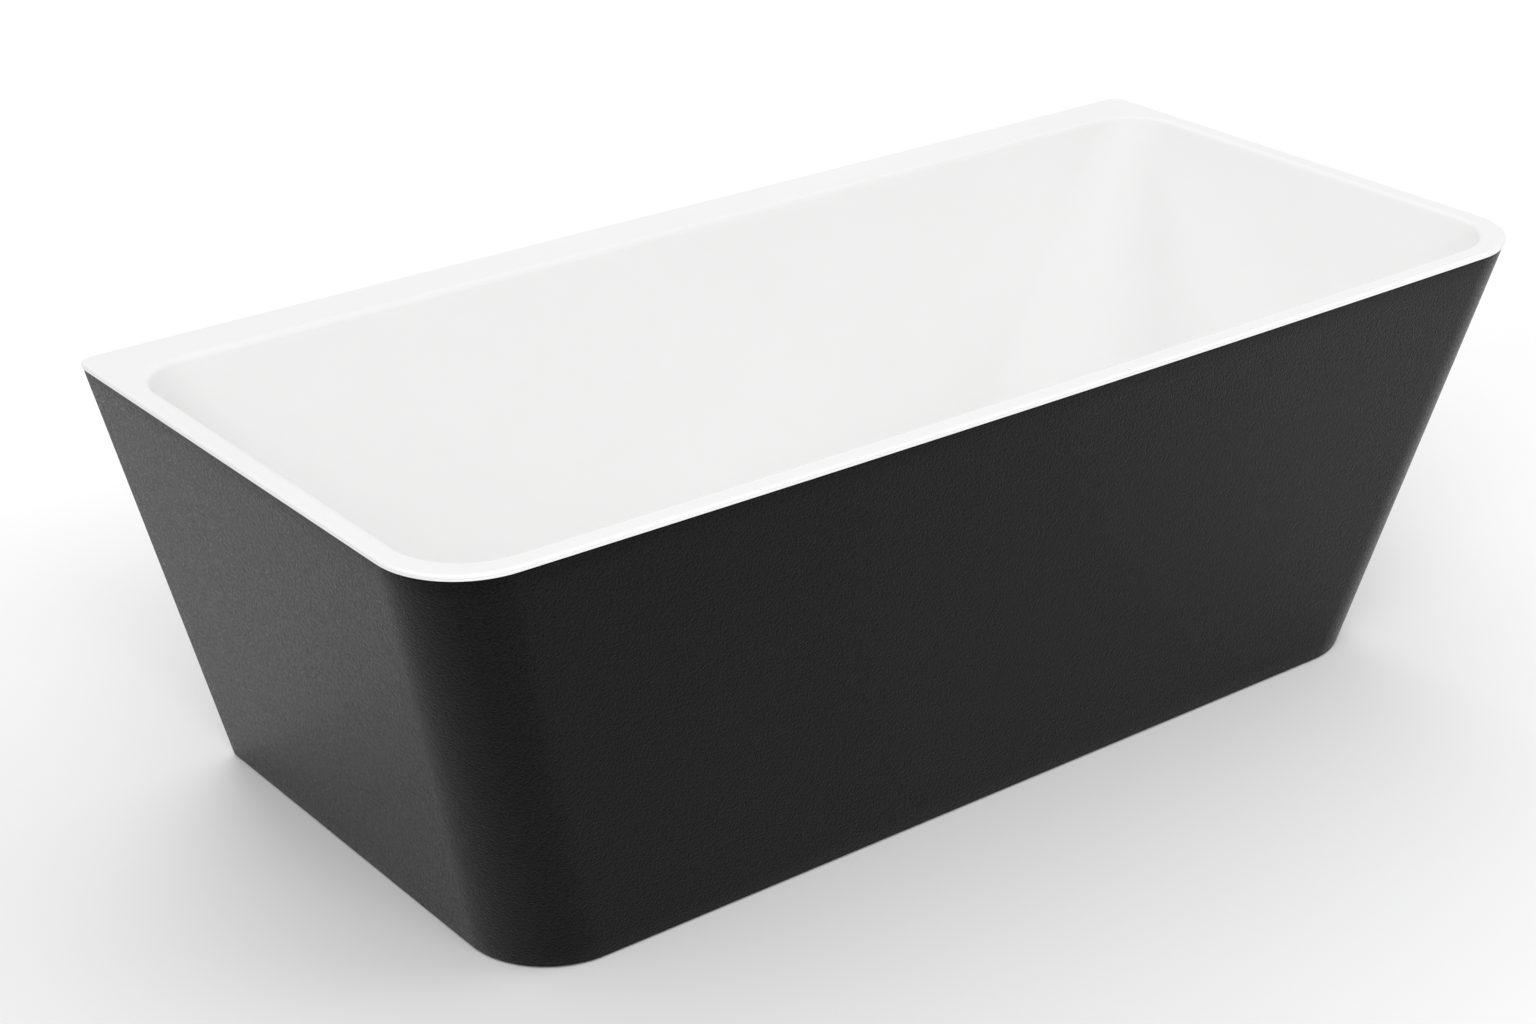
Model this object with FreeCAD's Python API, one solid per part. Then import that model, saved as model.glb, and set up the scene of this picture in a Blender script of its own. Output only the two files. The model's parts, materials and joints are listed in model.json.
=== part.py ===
import FreeCAD, Part
import math
import os

# A back-to-wall freestanding bathtub, in millimetres. X runs along its length, Y from its front (-) to its
# upright back (+), and Z up from the floor it stands on. The origin is under the middle of its rim.

Vector = FreeCAD.Vector

# Outer form, at the floor line and at the rim
HEIGHT = 585
RIM_HALF_LENGTH = 850
BASE_HALF_LENGTH = 700
RIM_FRONT_Y = -403
BASE_FRONT_Y = -297
BACK_Y = 403
RIM_FRONT_RADIUS = 106
BASE_FRONT_RADIUS = 112
BACK_RADIUS = 20
RIM_FRONT_BOW = 6           # how far the middle of the rim's front edge stands out past its ends

# Basin, at its floor and at the rim
FLOOR_Z = 130
OPENING_HALF_LENGTH = 821
FLOOR_HALF_LENGTH = 600
OPENING_FRONT_Y = RIM_FRONT_Y + 29
FLOOR_FRONT_Y = -235
OPENING_BACK_Y = BACK_Y - 76
FLOOR_BACK_Y = 270
OPENING_FRONT_RADIUS = 88
OPENING_BACK_RADIUS = 74
FLOOR_CORNER_RADIUS = 190
FLOOR_BLEND = 60            # radius where the walls run into the floor
RIM_INNER_ROUND = 9
RIM_OUTER_ROUND = 3

# Thicknesses
ACRYLIC = 4
LAMINATE = 4
SKIRT_LAMINATE = 3
LIP_HEIGHT = 8
SKIRT_INSET = 1             # how far inside the rim's lip the skirt stands; its back is flush
SKIRT_TOP_GAP = 0.5
SKIRT_BOTTOM_Z = 3
GLUE_GAP = 0.3

# Wooden battens under the rim
BATTEN_HEIGHT = 30
BATTEN_GAP = 1
BATTEN_HALF_LENGTH = 690    # of the front and back battens
END_BATTEN_FRONT_Y = -240
END_BATTEN_BACK_Y = 230

# Base board and steel cradle
BOARD_THICKNESS = 16
BOARD_HALF_LENGTH = 545
BOARD_FRONT_Y = -175
BOARD_BACK_Y = 205
BOARD_CORNER_RADIUS = 60
BOARD_TOP_Z = FLOOR_Z - ACRYLIC - LAMINATE
BOARD_SCREW_X = (-450, -230, 230, 450)
BOARD_SCREW_BITE = 10       # how far the screws reach into the board
BOARD_BOTTOM_Z = BOARD_TOP_Z - BOARD_THICKNESS
RAIL_HEIGHT = 40
RAIL_WIDTH = 20
RAIL_HALF_LENGTH = 600
RAIL_Y = {"front": -140, "back": 170}
RAIL_BOTTOM_Z = BOARD_BOTTOM_Z - RAIL_HEIGHT
CROSS_SIZE = 30
CROSS_X = {"left": -520, "centre": 0, "right": 520}
CROSS_FRONT_Y = -270
CROSS_BACK_Y = 370
CROSS_BOTTOM_Z = RAIL_BOTTOM_Z - CROSS_SIZE
TUBE_WALL = 2
BRACKET_THICKNESS = 3
BRACKET_WIDTH = 40
BRACKET_HEIGHT = 50
BRACKET_LAP = 28            # how far a bracket reaches along under its cross member
BRACKET_SCREW_INSET = 15
BRACKET_GAP = 1

# Levelling feet
THREAD_RADIUS = 6
THREAD_ROOT_RADIUS = 5.1
THREAD_PITCH = 1.75
THREAD_HOLE_CLEARANCE = 0.5
RUNNING_CLEARANCE = 0.06
NUT_FLATS = 19
NUT_HEIGHT = 9
FOOT_HEX_FLATS = 17
FOOT_FRONT_Y = -215
FOOT_BACK_Y = 315
FOOT_TOP_Z = 95
PAD_HEIGHT = 12
PAD_RADIUS = 24
SPIGOT_RADIUS = 5
SPIGOT_BOTTOM_Z = 3
FOOT_HEX_BOTTOM_Z = PAD_HEIGHT + GLUE_GAP
FOOT_HEX_TOP_Z = 19

# Waste and plug
DRAIN_X = -400
DRAIN_Y = 17
DRAIN_HOLE_RADIUS = 26
BOARD_CUTOUT_RADIUS = 55
WASTE_RIM_RADIUS = 36
WASTE_NECK_RADIUS = 23
WASTE_NECK_WALL = 3
WASTE_NECK_BOTTOM_Z = 98
WASTE_SEAT_Z = FLOOR_Z + 1
WASTE_TOP_Z = WASTE_SEAT_Z + 2.5
SPIDER_Z = 104              # the three bars across the neck, which hold the plug's guide
SPIDER_HEIGHT = 6
SPIDER_BAR_WIDTH = 3
SPIDER_HUB_RADIUS = 8
SPIDER_HUB_HEIGHT = 8
CARTRIDGE_RADIUS = 6.5
CARTRIDGE_NECK_RADIUS = 5
SEAL_THICKNESS = 3
WASTE_BODY_RADIUS = 28
WASTE_BODY_FLANGE_RADIUS = 40
OUTLET_RADIUS = 20
OUTLET_WALL = 2.5
OUTLET_BOTTOM_Z = 22
OUTLET_TOP_Z = 58
BRANCH_Z = 86
BRANCH_END_X = DRAIN_X - 52
STEM_RADIUS = 3
PLUG_RADIUS = 32
PLUG_SEAL_RADIUS = 28
PLUG_HUB_RADIUS = 7
PLUG_BOTTOM_Z = WASTE_TOP_Z + 0.1
PLUG_CAP_Z = PLUG_BOTTOM_Z + 1.6

# Overflow, on the left end wall
OVERFLOW_Z = 425
OVERFLOW_HOLE_RADIUS = 24
OVERFLOW_FLANGE_RADIUS = 30.5
OVERFLOW_NECK_RADIUS = 22
OVERFLOW_NECK_BORE = 19
OVERFLOW_NECK_END = -20     # measured from the basin's face, as are the two depths below
OVERFLOW_PIPE_DEPTH = -29
OVERFLOW_CUP_DEPTH = -46
OVERFLOW_CUP_RADIUS = 30
SOCKET_RADIUS = 17
SOCKET_LENGTH = 62
PIPE_RADIUS = 12.5
PIPE_BORE_RADIUS = 10.7
PIPE_CLEARANCE = 0.1
PIPE_BEND_RADIUS = 60
COMPRESSION_NUT_RADIUS = 19.5
COMPRESSION_NUT_LENGTH = 18
COMPRESSION_NUT_GROOVES = 12
OVERFLOW_COVER_RADIUS = 35
OVERFLOW_SCREW_RADIUS = 2

# Screws
SCREW_RADIUS = 2.5
SCREW_HOLE_RADIUS = 2.6
SCREW_HEAD_FLATS = 9
SCREW_HEAD_HEIGHT = 3.5
SCREW_WASHER_RADIUS = 5.5


# ---- Basic shapes ----

def mix(low, high, share):
    return low + (high - low) * share


def arc(start, middle, end):
    return Part.Arc(start, middle, end).toShape()


def corner(centre_x, centre_y, radius, start, end, z):
    """A corner arc about a centre, from one angle to another, in degrees."""
    points = []
    for angle in (start, (start + end) / 2, end):
        turn = math.radians(angle)
        points.append(Vector(centre_x + radius * math.cos(turn), centre_y + radius * math.sin(turn), z))
    return arc(*points)


def outline(half_length, front_y, back_y, front_radius, back_radius, z, bow=0):
    """A rounded rectangle whose front side is straight, or bowed out and tangent to its corner arcs."""
    reach = half_length - front_radius
    if bow:
        bow_radius = (reach**2 + bow**2) / (2 * bow)
        bow_centre_y = front_y + bow_radius
        corner_y = bow_centre_y - math.sqrt((bow_radius - front_radius) ** 2 - reach**2)
        tilt = math.degrees(math.asin(reach / (bow_radius - front_radius)))
    else:
        corner_y = front_y + front_radius
        tilt = 0
    back_x = half_length - back_radius
    arcs = [
        corner(reach, corner_y, front_radius, -90 + tilt, 0, z),
        corner(back_x, back_y - back_radius, back_radius, 0, 90, z),
        corner(-back_x, back_y - back_radius, back_radius, 90, 180, z),
        corner(-reach, corner_y, front_radius, 180, 270 - tilt, z),
    ]
    edges = []
    for here, following in zip(arcs, arcs[1:] + arcs[:1]):
        start = here.Vertexes[-1].Point
        end = following.Vertexes[0].Point
        edges.append(here)
        if bow and here is arcs[-1]:
            edges.append(arc(start, Vector(0, front_y, z), end))
        else:
            edges.append(Part.LineSegment(start, end).toShape())
    return Part.Wire(edges)


def outer_outline(z, inset, back_y):
    share = z / HEIGHT
    return outline(
        mix(BASE_HALF_LENGTH, RIM_HALF_LENGTH, share) - inset,
        mix(BASE_FRONT_Y, RIM_FRONT_Y, share) + inset,
        back_y,
        mix(BASE_FRONT_RADIUS, RIM_FRONT_RADIUS, share) - inset,
        BACK_RADIUS - inset,
        z,
        mix(0, RIM_FRONT_BOW, share),
    )


def with_plane_back(body, back_y):
    """The same solid, its back face made a true plane."""
    faces = []
    for face in body.Faces:
        if face.BoundBox.YMin > back_y - 1:
            plane = Part.Plane(Vector(0, back_y, 0), Vector(0, 1, 0))
            face = Part.Face(plane, face.OuterWire)
        faces.append(face)
    return Part.makeSolid(Part.makeShell(faces))


def outer_body(bottom_z, top_z, inset=0, back_inset=None):
    """The tub's tapering outer form between two heights, drawn in by an inset."""
    back_y = BACK_Y - (inset if back_inset is None else back_inset)
    sections = [outer_outline(z, inset, back_y) for z in (bottom_z, top_z)]
    return with_plane_back(Part.makeLoft(sections, True, True), back_y)


def bowl_outline(z, grow):
    share = (z - FLOOR_Z) / (HEIGHT - FLOOR_Z)
    return outline(
        mix(FLOOR_HALF_LENGTH, OPENING_HALF_LENGTH, share) + grow,
        mix(FLOOR_FRONT_Y, OPENING_FRONT_Y, share) - grow,
        mix(FLOOR_BACK_Y, OPENING_BACK_Y, share) + grow,
        mix(FLOOR_CORNER_RADIUS, OPENING_FRONT_RADIUS, share) + grow,
        mix(FLOOR_CORNER_RADIUS, OPENING_BACK_RADIUS, share) + grow,
        z,
        mix(0, RIM_FRONT_BOW, max(share, 0)),
    )


def bowl(thickness, top_z):
    """The basin's inside as a solid, made larger all round by a wall thickness."""
    bottom_z = FLOOR_Z - thickness
    body = Part.makeLoft([bowl_outline(bottom_z, thickness), bowl_outline(top_z, thickness)], True, True)
    floor_edges = [edge for edge in body.Edges if abs(edge.BoundBox.ZMax - bottom_z) < 0.01]
    return body.makeFillet(FLOOR_BLEND + thickness, floor_edges)


def box(low, high):
    size = [b - a for a, b in zip(low, high)]
    return Part.makeBox(*size, Vector(*low))


def rod(radius, bottom_z, top_z, x=0, y=0):
    return Part.makeCylinder(radius, top_z - bottom_z, Vector(x, y, bottom_z))


def ring(outer, inner, bottom_z, top_z, x=0, y=0):
    return rod(outer, bottom_z, top_z, x, y).cut(rod(inner, bottom_z, top_z, x, y))


def hexagon(flats, bottom_z, top_z, x=0, y=0):
    reach = flats / math.sqrt(3)
    points = []
    for step in range(7):
        turn = math.radians(60 * step)
        points.append(Vector(x + reach * math.cos(turn), y + reach * math.sin(turn), bottom_z))
    return Part.Face(Part.makePolygon(points)).extrude(Vector(0, 0, top_z - bottom_z))


def turned(profile):
    """A solid turned about Z from a closed list of (radius, height) points."""
    points = [Vector(radius, 0, z) for radius, z in profile]
    face = Part.Face(Part.makePolygon(points + points[:1]))
    return face.revolve(Vector(0, 0, 0), Vector(0, 0, 1), 360)


def joined(shapes):
    return shapes[0].multiFuse(shapes[1:]).removeSplitter()


# ---- Basin, skirt and what stiffens them ----

def drain_hole(radius):
    return rod(radius, BOARD_BOTTOM_Z - 1, FLOOR_Z + 1, DRAIN_X, DRAIN_Y)


def overflow_hole():
    return on_overflow(rod(OVERFLOW_HOLE_RADIUS, -LAMINATE - ACRYLIC - 5, 5))


def basin_shell():
    lip_bottom_z = HEIGHT - LIP_HEIGHT
    rim = outer_body(lip_bottom_z, HEIGHT)
    outer_edges = [edge for edge in rim.Edges if edge.BoundBox.ZMin > HEIGHT - 0.01]
    rim = rim.makeFillet(RIM_OUTER_ROUND, outer_edges)
    rim = rim.cut(outer_body(lip_bottom_z - 1, HEIGHT - ACRYLIC, ACRYLIC))
    shell = rim.fuse(bowl(ACRYLIC, HEIGHT - 1)).removeSplitter()
    shell = shell.cut(bowl(0, HEIGHT + 1))
    inner_edges = []
    for edge in shell.Edges:
        reach = edge.BoundBox
        on_top = reach.ZMin > HEIGHT - 0.01
        inside = reach.XMax < OPENING_HALF_LENGTH + 1 and reach.XMin > -OPENING_HALF_LENGTH - 1
        if on_top and inside and reach.YMin > OPENING_FRONT_Y - 1 and reach.YMax < OPENING_BACK_Y + 1:
            inner_edges.append(edge)
    shell = shell.makeFillet(RIM_INNER_ROUND, inner_edges)
    return shell.cut(drain_hole(DRAIN_HOLE_RADIUS)).cut(overflow_hole())


def basin_laminate():
    top_z = HEIGHT - ACRYLIC - GLUE_GAP
    layer = bowl(ACRYLIC + LAMINATE, top_z).cut(bowl(ACRYLIC, top_z))
    return layer.cut(drain_hole(DRAIN_HOLE_RADIUS)).cut(overflow_hole())


def outer_skirt():
    top_z = HEIGHT - LIP_HEIGHT - SKIRT_TOP_GAP
    outside = outer_body(SKIRT_BOTTOM_Z, top_z, SKIRT_INSET, 0)
    return outside.cut(outer_body(SKIRT_BOTTOM_Z - 1, top_z + 1, SKIRT_INSET + ACRYLIC))


def skirt_laminate():
    bottom_z = SKIRT_BOTTOM_Z + 12
    top_z = HEIGHT - LIP_HEIGHT - SKIRT_TOP_GAP - 2
    inset = SKIRT_INSET + ACRYLIC + GLUE_GAP
    outside = outer_body(bottom_z, top_z, inset)
    return outside.cut(outer_body(bottom_z - 1, top_z + 1, inset + SKIRT_LAMINATE))


def rim_battens():
    """Four wooden strips that fill the gap between basin and skirt under the rim."""
    top_z = HEIGHT - ACRYLIC - GLUE_GAP
    bottom_z = top_z - BATTEN_HEIGHT
    basin_wall = ACRYLIC + LAMINATE + BATTEN_GAP
    skirt_wall = SKIRT_INSET + ACRYLIC + GLUE_GAP + SKIRT_LAMINATE + BATTEN_GAP
    band = outer_body(bottom_z, top_z, skirt_wall).cut(bowl(basin_wall, top_z + 1))
    reach = RIM_HALF_LENGTH + 1
    zones = {
        "front": box((-BATTEN_HALF_LENGTH, -reach, bottom_z), (BATTEN_HALF_LENGTH, 0, top_z)),
        "back": box((-BATTEN_HALF_LENGTH, 0, bottom_z), (BATTEN_HALF_LENGTH, reach, top_z)),
        "left": box((-reach, END_BATTEN_FRONT_Y, bottom_z), (0, END_BATTEN_BACK_Y, top_z)),
        "right": box((0, END_BATTEN_FRONT_Y, bottom_z), (reach, END_BATTEN_BACK_Y, top_z)),
    }
    return {f"rim_batten_{side}": band.common(zone) for side, zone in zones.items()}


def board_screw_places():
    return [(x, y) for x in BOARD_SCREW_X for y in RAIL_Y.values()]


def base_board():
    radius = BOARD_CORNER_RADIUS
    bottom = outline(BOARD_HALF_LENGTH, BOARD_FRONT_Y, BOARD_BACK_Y, radius, radius, BOARD_BOTTOM_Z)
    board = Part.Face(bottom).extrude(Vector(0, 0, BOARD_THICKNESS))
    board = board.cut(drain_hole(BOARD_CUTOUT_RADIUS))
    hole_top_z = BOARD_BOTTOM_Z + BOARD_SCREW_BITE + 1
    for x, y in board_screw_places():
        board = board.cut(rod(SCREW_HOLE_RADIUS, BOARD_BOTTOM_Z - 1, hole_top_z, x, y))
    return board


# ---- Steel cradle ----

def frame_rail(y):
    low = (-RAIL_HALF_LENGTH, y - RAIL_WIDTH / 2, RAIL_BOTTOM_Z)
    high = (RAIL_HALF_LENGTH, y + RAIL_WIDTH / 2, BOARD_BOTTOM_Z)
    bore_low = (low[0] - 1, low[1] + TUBE_WALL, low[2] + TUBE_WALL)
    bore_high = (high[0] + 1, high[1] - TUBE_WALL, high[2] - TUBE_WALL)
    rail = box(low, high).cut(box(bore_low, bore_high))
    for x, screw_y in board_screw_places():
        if screw_y == y:
            rail = rail.cut(rod(SCREW_HOLE_RADIUS, RAIL_BOTTOM_Z - 1, BOARD_BOTTOM_Z + 1, x, y))
    return rail


def foot_places():
    places = {"centre": (CROSS_X["centre"], DRAIN_Y)}
    for side in ("left", "right"):
        places[f"front_{side}"] = (CROSS_X[side], FOOT_FRONT_Y)
        places[f"back_{side}"] = (CROSS_X[side], FOOT_BACK_Y)
    return places


def bracket_screw_y(row):
    if row == "front":
        return CROSS_FRONT_Y + BRACKET_SCREW_INSET
    return CROSS_BACK_Y - BRACKET_SCREW_INSET


def frame_cross(x):
    half = CROSS_SIZE / 2
    low = (x - half, CROSS_FRONT_Y, CROSS_BOTTOM_Z)
    high = (x + half, CROSS_BACK_Y, RAIL_BOTTOM_Z)
    bore_low = (low[0] + TUBE_WALL, low[1] - 1, low[2] + TUBE_WALL)
    bore_high = (high[0] - TUBE_WALL, high[1] + 1, high[2] - TUBE_WALL)
    cross = box(low, high).cut(box(bore_low, bore_high))
    for foot_x, foot_y in foot_places().values():
        if foot_x == x:
            hole_radius = THREAD_RADIUS + THREAD_HOLE_CLEARANCE
            cross = cross.cut(rod(hole_radius, CROSS_BOTTOM_Z - 1, RAIL_BOTTOM_Z + 1, x, foot_y))
    hole_top_z = CROSS_BOTTOM_Z + TUBE_WALL + 1
    for row in ("front", "back"):
        cross = cross.cut(rod(SCREW_HOLE_RADIUS, CROSS_BOTTOM_Z - 1, hole_top_z, x, bracket_screw_y(row)))
    return cross


def skirt_bracket(x, row):
    """A strap under a cross member's end, turned up against the inside of the skirt."""
    side_x = x - BRACKET_WIDTH / 2
    top_z = CROSS_BOTTOM_Z + BRACKET_HEIGHT
    strap_bottom_z = CROSS_BOTTOM_Z - BRACKET_THICKNESS
    wall = SKIRT_INSET + ACRYLIC + GLUE_GAP + SKIRT_LAMINATE + BRACKET_GAP
    slope = (BASE_FRONT_Y - RIM_FRONT_Y) / HEIGHT
    if row == "front":
        strap_end_y = CROSS_FRONT_Y + BRACKET_LAP
        foot_y = BASE_FRONT_Y - slope * strap_bottom_z + wall
        head_y = BASE_FRONT_Y - slope * top_z + wall
        inward = BRACKET_THICKNESS
    else:
        strap_end_y = CROSS_BACK_Y - BRACKET_LAP
        foot_y = BACK_Y - wall
        head_y = foot_y
        inward = -BRACKET_THICKNESS
    profile = [
        Vector(side_x, strap_end_y, strap_bottom_z),
        Vector(side_x, foot_y, strap_bottom_z),
        Vector(side_x, head_y, top_z),
        Vector(side_x, head_y + inward, top_z),
        Vector(side_x, foot_y + inward, CROSS_BOTTOM_Z),
        Vector(side_x, strap_end_y, CROSS_BOTTOM_Z),
    ]
    face = Part.Face(Part.makePolygon(profile + profile[:1]))
    bracket = face.extrude(Vector(BRACKET_WIDTH, 0, 0))
    hole = rod(SCREW_HOLE_RADIUS, strap_bottom_z - 1, CROSS_BOTTOM_Z + 1, x, bracket_screw_y(row))
    return bracket.cut(hole)


def screw(head_top_z, tip_z, x, y):
    """A hexagon-headed screw pointing up."""
    head = hexagon(SCREW_HEAD_FLATS, head_top_z - SCREW_HEAD_HEIGHT, head_top_z, x, y)
    washer = rod(SCREW_WASHER_RADIUS, head_top_z - 1, head_top_z, x, y)
    return joined([head, washer, rod(SCREW_RADIUS, head_top_z, tip_z, x, y)])


def bracket_screws():
    strap_bottom_z = CROSS_BOTTOM_Z - BRACKET_THICKNESS
    tip_z = CROSS_BOTTOM_Z + TUBE_WALL + 10
    return [
        screw(strap_bottom_z, tip_z, x, bracket_screw_y(row))
        for x in CROSS_X.values()
        for row in ("front", "back")
    ]


def board_screws():
    tip_z = BOARD_BOTTOM_Z + BOARD_SCREW_BITE
    return [screw(RAIL_BOTTOM_Z, tip_z, x, y) for x, y in board_screw_places()]


# ---- Levelling feet ----

def threaded_rod(bottom_z, top_z):
    """A rod with thread grooves, chamfered at its top."""
    profile = [(0, bottom_z), (THREAD_RADIUS, bottom_z)]
    z = bottom_z + 1
    while z < top_z - 2 * THREAD_PITCH:
        profile.append((THREAD_RADIUS, z))
        profile.append((THREAD_ROOT_RADIUS, z + THREAD_PITCH * 0.5))
        profile.append((THREAD_RADIUS, z + THREAD_PITCH * 0.85))
        z += THREAD_PITCH
    profile += [(THREAD_RADIUS, top_z - 1), (THREAD_ROOT_RADIUS, top_z), (0, top_z)]
    return turned(profile)


def foot_stud(x, y):
    spigot = rod(SPIGOT_RADIUS, SPIGOT_BOTTOM_Z + 0.05, FOOT_HEX_BOTTOM_Z)
    head = hexagon(FOOT_HEX_FLATS, FOOT_HEX_BOTTOM_Z, FOOT_HEX_TOP_Z)
    stud = joined([spigot, head, threaded_rod(FOOT_HEX_TOP_Z, FOOT_TOP_Z)])
    return stud.translated(Vector(x, y, 0))


def foot_pad(x, y):
    bore = SPIGOT_RADIUS + 0.05
    profile = [
        (0, 0),
        (PAD_RADIUS - 1, 0),
        (PAD_RADIUS, 1),
        (PAD_RADIUS, 4),
        (PAD_RADIUS - 3, 6),
        (13, 8),
        (11, PAD_HEIGHT),
        (bore, PAD_HEIGHT),
        (bore, SPIGOT_BOTTOM_Z),
        (0, SPIGOT_BOTTOM_Z),
    ]
    return turned(profile).translated(Vector(x, y, 0))


def nut(bottom_z, top_z, x, y):
    bore = rod(THREAD_RADIUS + RUNNING_CLEARANCE, bottom_z - 1, top_z + 1, x, y)
    return hexagon(NUT_FLATS, bottom_z, top_z, x, y).cut(bore)


def foot_lock_nuts():
    return [nut(CROSS_BOTTOM_Z - NUT_HEIGHT, CROSS_BOTTOM_Z, x, y) for x, y in foot_places().values()]


def foot_weld_nuts():
    return [nut(RAIL_BOTTOM_Z, RAIL_BOTTOM_Z + NUT_HEIGHT + 1, x, y) for x, y in foot_places().values()]


# ---- Waste and plug, drawn about the Z axis and then moved to the drain ----

def at_drain(shape):
    return shape.translated(Vector(DRAIN_X, DRAIN_Y, 0))


def waste_flange():
    inner = WASTE_NECK_RADIUS - WASTE_NECK_WALL
    pieces = [turned([
        (inner, WASTE_TOP_Z - 1),
        (inner + 2, WASTE_TOP_Z),
        (WASTE_RIM_RADIUS - 5, WASTE_TOP_Z),
        (WASTE_RIM_RADIUS - 1, WASTE_SEAT_Z + 1.6),
        (WASTE_RIM_RADIUS, WASTE_SEAT_Z + 0.6),
        (WASTE_RIM_RADIUS, WASTE_SEAT_Z),
        (WASTE_NECK_RADIUS, WASTE_SEAT_Z),
        (WASTE_NECK_RADIUS, WASTE_NECK_BOTTOM_Z),
        (inner, WASTE_NECK_BOTTOM_Z),
    ])]
    half = SPIDER_BAR_WIDTH / 2
    for turn in (0, 60, 120):
        bar = box((-inner - 1, -half, SPIDER_Z), (inner + 1, half, SPIDER_Z + SPIDER_HEIGHT))
        bar.rotate(Vector(0, 0, 0), Vector(0, 0, 1), turn)
        pieces.append(bar)
    hub_top_z = SPIDER_Z + SPIDER_HUB_HEIGHT
    pieces.append(rod(SPIDER_HUB_RADIUS, SPIDER_Z, hub_top_z))
    return at_drain(joined(pieces).cut(rod(CARTRIDGE_NECK_RADIUS, SPIDER_Z - 1, hub_top_z + 1)))


def waste_top_seal():
    return at_drain(ring(WASTE_RIM_RADIUS - 2, WASTE_NECK_RADIUS + 0.2, FLOOR_Z, WASTE_SEAT_Z))


def waste_bottom_seal():
    outer = WASTE_BODY_FLANGE_RADIUS - 2
    return at_drain(ring(outer, WASTE_NECK_RADIUS + 1, BOARD_TOP_Z - SEAL_THICKNESS, BOARD_TOP_Z))


def waste_body():
    """The plastic body under the floor, with its outlet below and the overflow's branch at its side."""
    top_z = BOARD_TOP_Z - SEAL_THICKNESS
    bore = WASTE_NECK_RADIUS + PIPE_CLEARANCE
    outlet_bore = OUTLET_RADIUS - OUTLET_WALL
    outside = turned([
        (0, OUTLET_BOTTOM_Z),
        (OUTLET_RADIUS, OUTLET_BOTTOM_Z),
        (OUTLET_RADIUS, OUTLET_TOP_Z),
        (WASTE_BODY_RADIUS, OUTLET_TOP_Z + 8),
        (WASTE_BODY_RADIUS, top_z - 5),
        (WASTE_BODY_FLANGE_RADIUS, top_z - 4),
        (WASTE_BODY_FLANGE_RADIUS, top_z),
        (0, top_z),
    ])
    inside = turned([
        (0, OUTLET_BOTTOM_Z - 1),
        (outlet_bore, OUTLET_BOTTOM_Z - 1),
        (outlet_bore, OUTLET_TOP_Z + 2),
        (bore, OUTLET_TOP_Z + 12),
        (bore, top_z + 1),
        (0, top_z + 1),
    ])
    length = DRAIN_X - BRANCH_END_X
    centre = Vector(0, 0, BRANCH_Z)
    end = Vector(-length - 1, 0, BRANCH_Z)
    branch = Part.makeCylinder(SOCKET_RADIUS, length, centre, Vector(-1, 0, 0))
    branch_bore = Part.makeCylinder(PIPE_BORE_RADIUS, length, centre, Vector(-1, 0, 0))
    socket = Part.makeCylinder(PIPE_RADIUS + PIPE_CLEARANCE, 21, end, Vector(1, 0, 0))
    return at_drain(outside.fuse(branch).removeSplitter().cut(inside).cut(branch_bore).cut(socket))


def plug_cartridge():
    """The guide that the plug's stem slides in, held by its neck in the waste's hub."""
    bore = STEM_RADIUS + RUNNING_CLEARANCE
    neck = CARTRIDGE_NECK_RADIUS - RUNNING_CLEARANCE
    hub_top_z = SPIDER_Z + SPIDER_HUB_HEIGHT
    return at_drain(turned([
        (bore, SPIDER_Z - 6),
        (CARTRIDGE_RADIUS, SPIDER_Z - 6),
        (CARTRIDGE_RADIUS, SPIDER_Z),
        (neck, SPIDER_Z),
        (neck, hub_top_z),
        (CARTRIDGE_RADIUS, hub_top_z),
        (CARTRIDGE_RADIUS, hub_top_z + 5),
        (bore, hub_top_z + 5),
    ]))


def plug_stem():
    """The stem, whose collar clamps the plug's seal against its cap."""
    return at_drain(joined([
        rod(STEM_RADIUS, SPIDER_Z - 4, PLUG_CAP_Z + 2.5),
        rod(PLUG_HUB_RADIUS, PLUG_CAP_Z - 5, PLUG_CAP_Z),
    ]))


def plug_seal():
    return at_drain(ring(PLUG_SEAL_RADIUS, PLUG_HUB_RADIUS + 0.1, PLUG_BOTTOM_Z, PLUG_CAP_Z))


def plug_cap():
    """A shallow dished cap, its underside bored for the stem."""
    bore = STEM_RADIUS + 0.02
    return at_drain(turned([
        (0, PLUG_CAP_Z + 2.52),
        (bore, PLUG_CAP_Z + 2.52),
        (bore, PLUG_CAP_Z),
        (PLUG_RADIUS - 1, PLUG_CAP_Z),
        (PLUG_RADIUS, PLUG_CAP_Z + 0.8),
        (PLUG_RADIUS, PLUG_CAP_Z + 2),
        (PLUG_RADIUS - 1.5, PLUG_CAP_Z + 3.2),
        (PLUG_RADIUS - 8, PLUG_CAP_Z + 4),
        (PLUG_RADIUS - 20, PLUG_CAP_Z + 4.4),
        (0, PLUG_CAP_Z + 4.5),
    ]))


# ---- Overflow, drawn about the Z axis with Z = 0 on the basin's face and +Z into the basin ----

WALL_LEAN = math.atan2(OPENING_HALF_LENGTH - FLOOR_HALF_LENGTH, HEIGHT - FLOOR_Z)
OVERFLOW_SHARE = (OVERFLOW_Z - FLOOR_Z) / (HEIGHT - FLOOR_Z)
OVERFLOW_X = -mix(FLOOR_HALF_LENGTH, OPENING_HALF_LENGTH, OVERFLOW_SHARE)
OVERFLOW_INTO_BASIN = Vector(math.cos(WALL_LEAN), 0, math.sin(WALL_LEAN))
OVERFLOW_DOWN = Vector(math.sin(WALL_LEAN), 0, -math.cos(WALL_LEAN))
WALL = ACRYLIC + LAMINATE


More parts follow.
